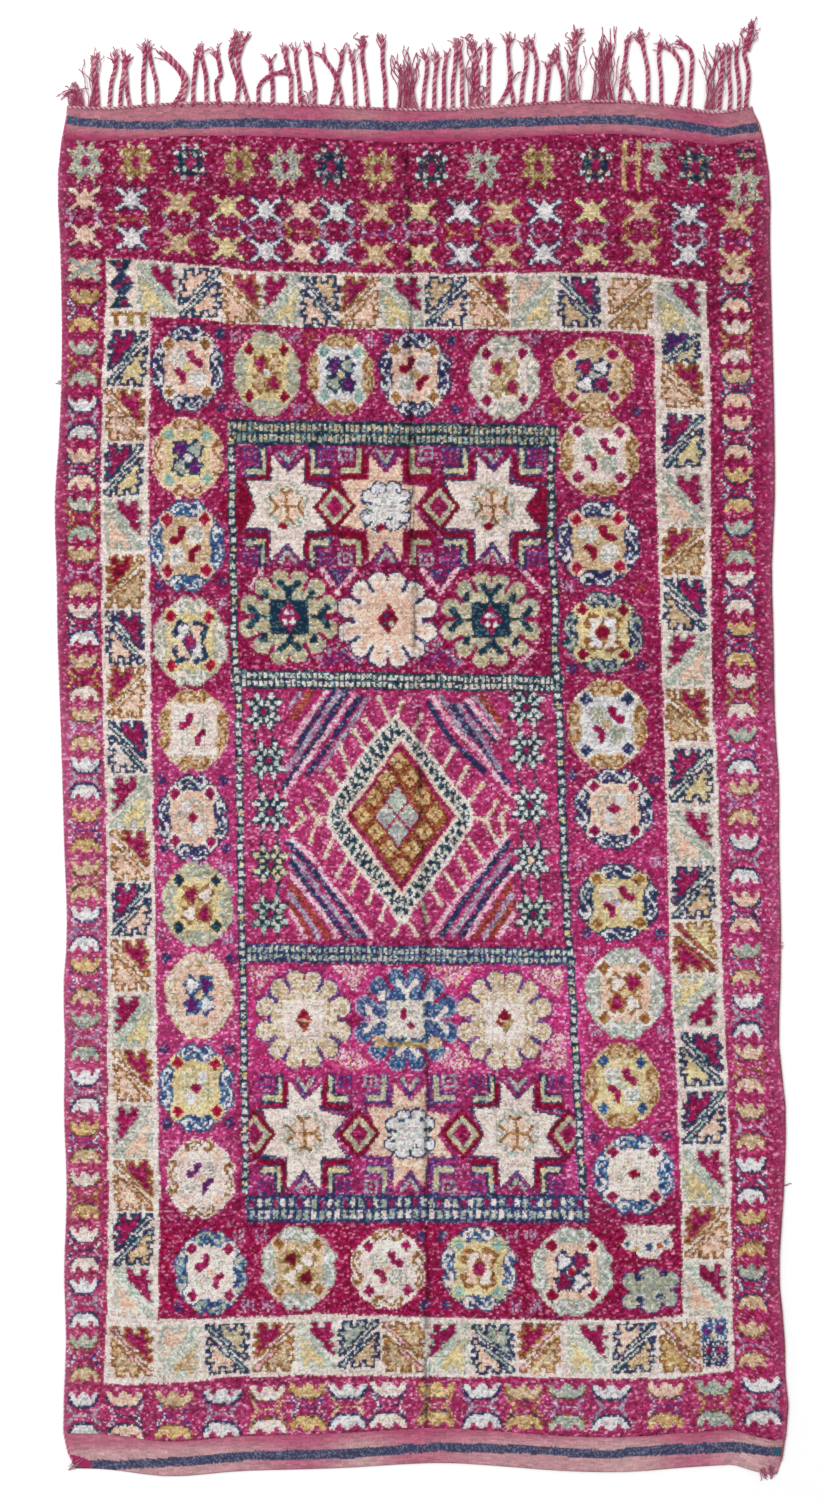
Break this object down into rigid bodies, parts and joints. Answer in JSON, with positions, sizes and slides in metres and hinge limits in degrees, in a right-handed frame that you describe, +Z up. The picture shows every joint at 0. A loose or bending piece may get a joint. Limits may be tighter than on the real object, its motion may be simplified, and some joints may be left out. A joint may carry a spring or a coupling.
{
  "type": "knotted pile rug",
  "caption": "Long rug of knotted wool pile, laid flat, with flat-woven striped ends, worn wavy edges, a soft lengthwise fold line and a warp fringe at one end",
  "frame": {"origin": "on the floor, under the middle of the rug's overall box, fringe included", "axes": "+Z up out of the pile, +Y along the length towards the fringed end, +X across to the right of the picture"},
  "size_m": [1.8347, 3.6426, 0.0092],
  "materials": {
    "pile_wool": "knotted wool pile, magenta field with many-coloured traditional motifs, matt",
    "warp_wool": "twisted wool cords, faded mauve-pink, matt"
  },
  "bodies": {
    "root": {"rug": "pile_wool", "fringe": "warp_wool"}
  },
  "joints": []
}
